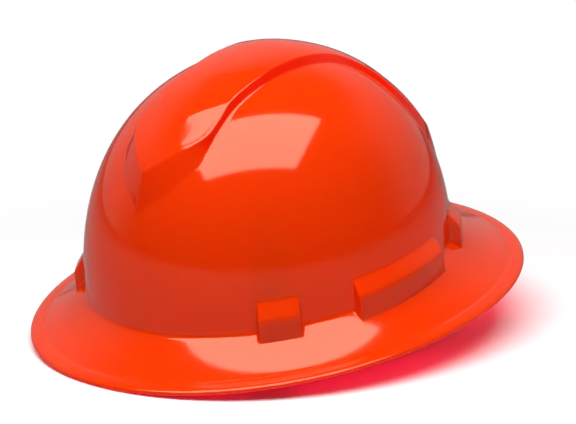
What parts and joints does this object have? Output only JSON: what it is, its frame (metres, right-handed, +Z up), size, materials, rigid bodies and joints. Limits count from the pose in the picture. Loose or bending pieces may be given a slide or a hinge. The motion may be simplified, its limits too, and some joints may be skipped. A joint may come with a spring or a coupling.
{
  "type": "full brim hard hat",
  "caption": "Full brim hard hat with a ridged dome, hollow key bosses and side accessory slots, carried on webbing straps and a ratchet-adjusted head band.",
  "frame": {"origin": "on the table plane, under the middle of the brim", "axes": "+Z up from the table, -Y to the front of the hat, +X to the wearer's left"},
  "size_m": [0.2794, 0.3279, 0.179],
  "materials": {
    "shell_plastic": "glossy moulded high-visibility orange",
    "key_plastic": "satin moulded black",
    "band_plastic": "satin moulded black",
    "housing_plastic": "fine-textured moulded black",
    "knob_plastic": "fine-textured moulded charcoal",
    "webbing": "woven black webbing",
    "brow_cloth": "brushed black cloth over foam",
    "nape_cloth": "brushed black cloth over foam",
    "screw_steel": "zinc-plated"
  },
  "bodies": {
    "shell_body": {"shell": "shell_plastic", "front_key_left": "key_plastic", "front_key_right": "key_plastic", "rear_key_left": "key_plastic", "rear_key_right": "key_plastic", "crown_strap_lower": "webbing", "crown_strap_upper": "webbing"},
    "head_band_body": {"head_band": "band_plastic", "sweatband": "brow_cloth", "swing_pin_left": "band_plastic", "swing_pin_right": "band_plastic"},
    "nape_body": {"housing_plate": "housing_plastic", "housing_cover": "housing_plastic", "housing_screws": "screw_steel", "nape_pad": "nape_cloth", "detent_ring": "housing_plastic"},
    "knob_body": {"knob": "knob_plastic", "pinion": "knob_plastic", "detent_spring": "knob_plastic", "knob_screw": "screw_steel"},
    "left_rail_body": {"left_rail": "band_plastic"},
    "right_rail_body": {"right_rail": "band_plastic"}
  },
  "joints": [
    {"name": "height_slide", "type": "slide", "parent": "shell_body", "child": "head_band_body", "axis": [0, -0.1365, 0.9906], "range_m": [-0.004, 0.008]},
    {"name": "nape_swing", "type": "hinge", "parent": "head_band_body", "child": "nape_body", "pos_m": [0, 0.01912, 0.03043], "axis": [1, 0, 0], "range_deg": [-6, 10]},
    {"name": "knob_turn", "type": "hinge", "parent": "nape_body", "child": "knob_body", "pos_m": [0, 0.10042, 0.01704], "axis": [0, 0.9867, -0.1625], "range_deg": [-137.51, 137.51]},
    {"name": "left_rail_draw", "type": "hinge", "parent": "nape_body", "child": "left_rail_body", "pos_m": [0, 0.01912, 0.03043], "axis": [0, 0.1625, 0.9867], "range_deg": [-9.18, 9.18]},
    {"name": "right_rail_draw", "type": "hinge", "parent": "nape_body", "child": "right_rail_body", "pos_m": [0, 0.01912, 0.03043], "axis": [0, 0.1625, 0.9867], "range_deg": [-8.97, 8.97]}
  ],
  "couplings": [
    {"joint": "left_rail_draw", "follows": "knob_turn", "ratio": -0.06605},
    {"joint": "right_rail_draw", "follows": "knob_turn", "ratio": 0.064516}
  ]
}
